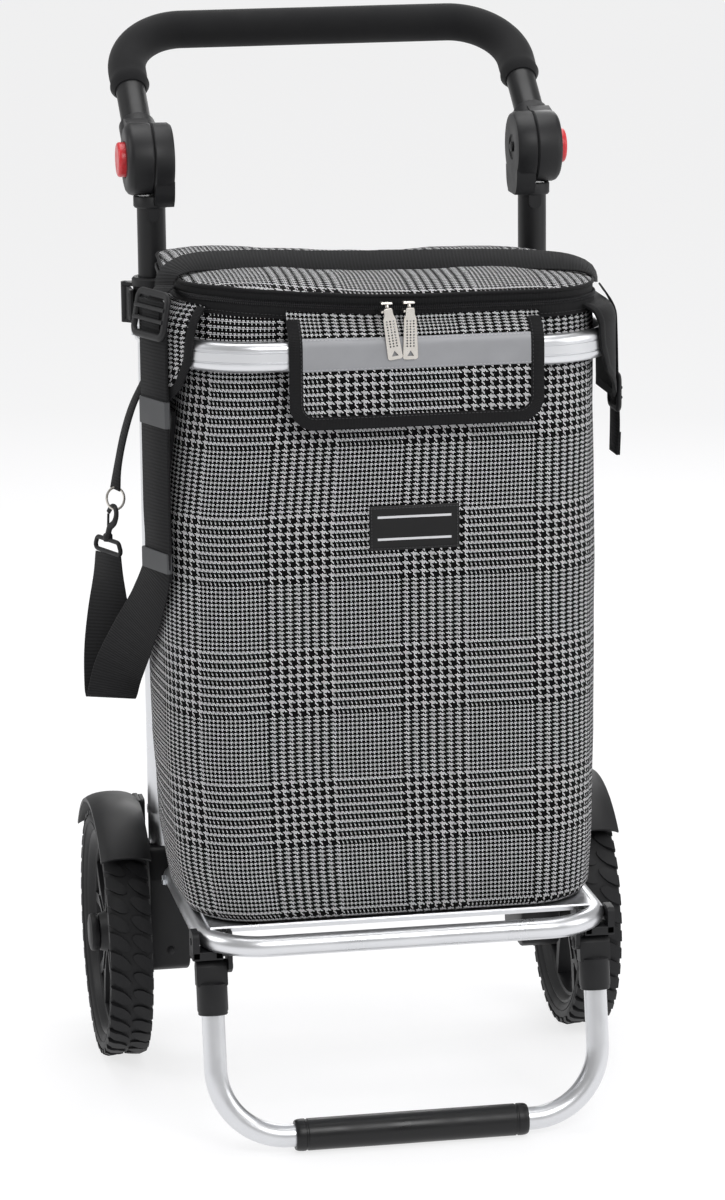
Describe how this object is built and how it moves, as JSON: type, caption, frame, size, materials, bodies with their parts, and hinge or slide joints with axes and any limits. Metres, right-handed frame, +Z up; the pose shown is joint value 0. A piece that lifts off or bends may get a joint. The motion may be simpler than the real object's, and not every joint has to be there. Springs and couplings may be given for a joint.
{
  "type": "shopping trolley on wheels",
  "caption": "Folding shopping trolley with an insulated zipped bag, wheels with mudguards, a front stand, folding hoops and a telescopic handle that pivots.",
  "frame": {"origin": "on the floor below the centre of the trolley's bounding box", "axes": "+Z up, +X to the right seen from the front, -Y towards the front of the bag and the stand"},
  "size_m": [0.533, 0.5061, 1.0399],
  "materials": {
    "silver_tube": "satin anodised",
    "black_tube": "semi-matt black powder coat",
    "steel": "bright zinc-plated steel",
    "black_plastic": "fine-grained moulded black",
    "red_button": "satin red",
    "grip": "matt closed-cell foam",
    "tyre": "matt black solid tyre",
    "sleeve": "satin black",
    "check_fabric": "black and white glen check polyester",
    "webbing": "ribbed black polypropylene webbing and binding",
    "board": "black fibreboard",
    "zip_metal": "bright nickel plate"
  },
  "bodies": {
    "frame": {"upright_left": "silver_tube", "upright_right": "silver_tube", "cross_tube": "silver_tube", "brace_bar": "black_tube", "axle": "steel", "wheel_bracket_left": "black_plastic", "wheel_bracket_right": "black_plastic", "fender_left": "black_plastic", "fender_right": "black_plastic", "clamp_collar_left": "black_plastic", "clamp_collar_right": "black_plastic", "platform_hinge_bolt_left": "steel", "platform_hinge_bolt_right": "steel", "hoop_hinge_bolt_left": "steel", "hoop_hinge_bolt_right": "steel"},
    "telescope": {"leg_left": "black_tube", "leg_right": "black_tube", "lower_housing_left": "black_plastic", "lower_housing_right": "black_plastic"},
    "handle": {"handle_tube": "black_tube", "grip_foam": "grip", "upper_housing_left": "black_plastic", "upper_housing_right": "black_plastic", "button_spring_left": "steel", "button_spring_right": "steel"},
    "platform": {"platform_hoop": "silver_tube", "support_plate": "silver_tube", "stand_clamp_left": "black_plastic", "stand_clamp_right": "black_plastic"},
    "stand": {"stand_tube": "silver_tube", "stand_sleeve": "sleeve", "stand_socket_left": "black_plastic", "stand_socket_right": "black_plastic"},
    "upper_hoop": {"upper_hoop": "silver_tube"},
    "bag": {"bag_shell": "check_fabric", "bag_base_board": "board", "front_flap": "check_fabric", "side_ear_left": "webbing", "side_ear_right": "webbing", "shoulder_strap": "webbing", "side_strap_right": "webbing"},
    "lid": {"lid": "check_fabric", "carry_webbing": "webbing"},
    "wheel_left": {"tyre_left": "tyre", "rim_left": "black_plastic", "hub_cap_left": "black_plastic", "wheel_bush_left": "steel"},
    "button_left": {"button_left": "red_button"},
    "clamp_lever_left": {"clamp_lever_left": "black_plastic"},
    "zip_slider_left": {"zip_slider_left": "zip_metal"},
    "zip_pull_left": {"zip_pull_left": "zip_metal"},
    "wheel_right": {"tyre_right": "tyre", "rim_right": "black_plastic", "hub_cap_right": "black_plastic", "wheel_bush_right": "steel"},
    "button_right": {"button_right": "red_button"},
    "clamp_lever_right": {"clamp_lever_right": "black_plastic"},
    "zip_slider_right": {"zip_slider_right": "zip_metal"},
    "zip_pull_right": {"zip_pull_right": "zip_metal"}
  },
  "joints": [
    {"name": "wheel_left_spin", "type": "hinge", "parent": "frame", "child": "wheel_left", "pos_m": [-0.238, 0.10043, 0.125], "axis": [1, 0, 0], "continuous": true},
    {"name": "wheel_right_spin", "type": "hinge", "parent": "frame", "child": "wheel_right", "pos_m": [0.238, 0.10043, 0.125], "axis": [1, 0, 0], "continuous": true},
    {"name": "telescope_slide", "type": "slide", "parent": "frame", "child": "telescope", "axis": [0, 0, 1], "range_m": [-0.045, 0.1]},
    {"name": "handle_tilt", "type": "hinge", "parent": "telescope", "child": "handle", "pos_m": [0, 0.07843, 0.912], "axis": [1, 0, 0], "range_deg": [-60, 55]},
    {"name": "button_left_press", "type": "slide", "parent": "handle", "child": "button_left", "axis": [1, 0, 0], "range_m": [0, 0.004], "stiffness_N_per_m": 800, "springref_m": -0.002, "deforming": ["button_spring_left"]},
    {"name": "button_right_press", "type": "slide", "parent": "handle", "child": "button_right", "axis": [-1, 0, 0], "range_m": [0, 0.004], "stiffness_N_per_m": 800, "springref_m": -0.002, "deforming": ["button_spring_right"]},
    {"name": "clamp_lever_left_swing", "type": "hinge", "parent": "frame", "child": "clamp_lever_left", "pos_m": [-0.2154, 0.09343, 0.7705], "axis": [0, 0, -1], "range_deg": [0, 100]},
    {"name": "clamp_lever_right_swing", "type": "hinge", "parent": "frame", "child": "clamp_lever_right", "pos_m": [0.2154, 0.09343, 0.7705], "axis": [0, 0, 1], "range_deg": [0, 100]},
    {"name": "platform_fold", "type": "hinge", "parent": "frame", "child": "platform", "pos_m": [0, 0.00143, 0.205], "axis": [-1, 0, 0], "range_deg": [0, 88], "deforming": ["bag_shell", "bag_base_board", "front_flap", "side_ear_left", "side_ear_right", "shoulder_strap", "side_strap_right", "lid", "carry_webbing", "zip_slider_left", "zip_slider_right", "zip_pull_left", "zip_pull_right"]},
    {"name": "upper_hoop_fold", "type": "hinge", "parent": "frame", "child": "upper_hoop", "pos_m": [0, 0.00143, 0.757], "axis": [1, 0, 0], "range_deg": [0, 88], "deforming": ["bag_shell", "bag_base_board", "front_flap", "side_ear_left", "side_ear_right", "shoulder_strap", "side_strap_right", "lid", "carry_webbing", "zip_slider_left", "zip_slider_right", "zip_pull_left", "zip_pull_right"]},
    {"name": "stand_fold", "type": "hinge", "parent": "platform", "child": "stand", "pos_m": [0, -0.20457, 0.1785], "axis": [1, 0, 0], "range_deg": [0, 100]},
    {"name": "bag_lift", "type": "slide", "parent": "frame", "child": "bag", "axis": [0, 0, 1], "range_m": [0, 0.56], "deforming": ["bag_shell", "bag_base_board", "shoulder_strap", "side_ear_left", "side_ear_right", "side_strap_right"]},
    {"name": "lid_open", "type": "hinge", "parent": "bag", "child": "lid", "pos_m": [0, 0.04043, 0.8035], "axis": [-1, 0, 0], "range_deg": [0, 70]},
    {"name": "zip_slider_left_slide", "type": "slide", "parent": "bag", "child": "zip_slider_left", "axis": [-1, 0, 0], "range_m": [0, 0.1]},
    {"name": "zip_pull_left_swing", "type": "hinge", "parent": "zip_slider_left", "child": "zip_pull_left", "pos_m": [-0.0147, -0.23297, 0.8055], "axis": [-1, 0, 0], "range_deg": [0, 150]},
    {"name": "zip_slider_right_slide", "type": "slide", "parent": "bag", "child": "zip_slider_right", "axis": [1, 0, 0], "range_m": [0, 0.1]},
    {"name": "zip_pull_right_swing", "type": "hinge", "parent": "zip_slider_right", "child": "zip_pull_right", "pos_m": [0.0061, -0.23297, 0.8055], "axis": [-1, 0, 0], "range_deg": [0, 150]}
  ],
  "couplings": [
    {"joint": "upper_hoop_fold", "follows": "platform_fold", "ratio": 1}
  ]
}
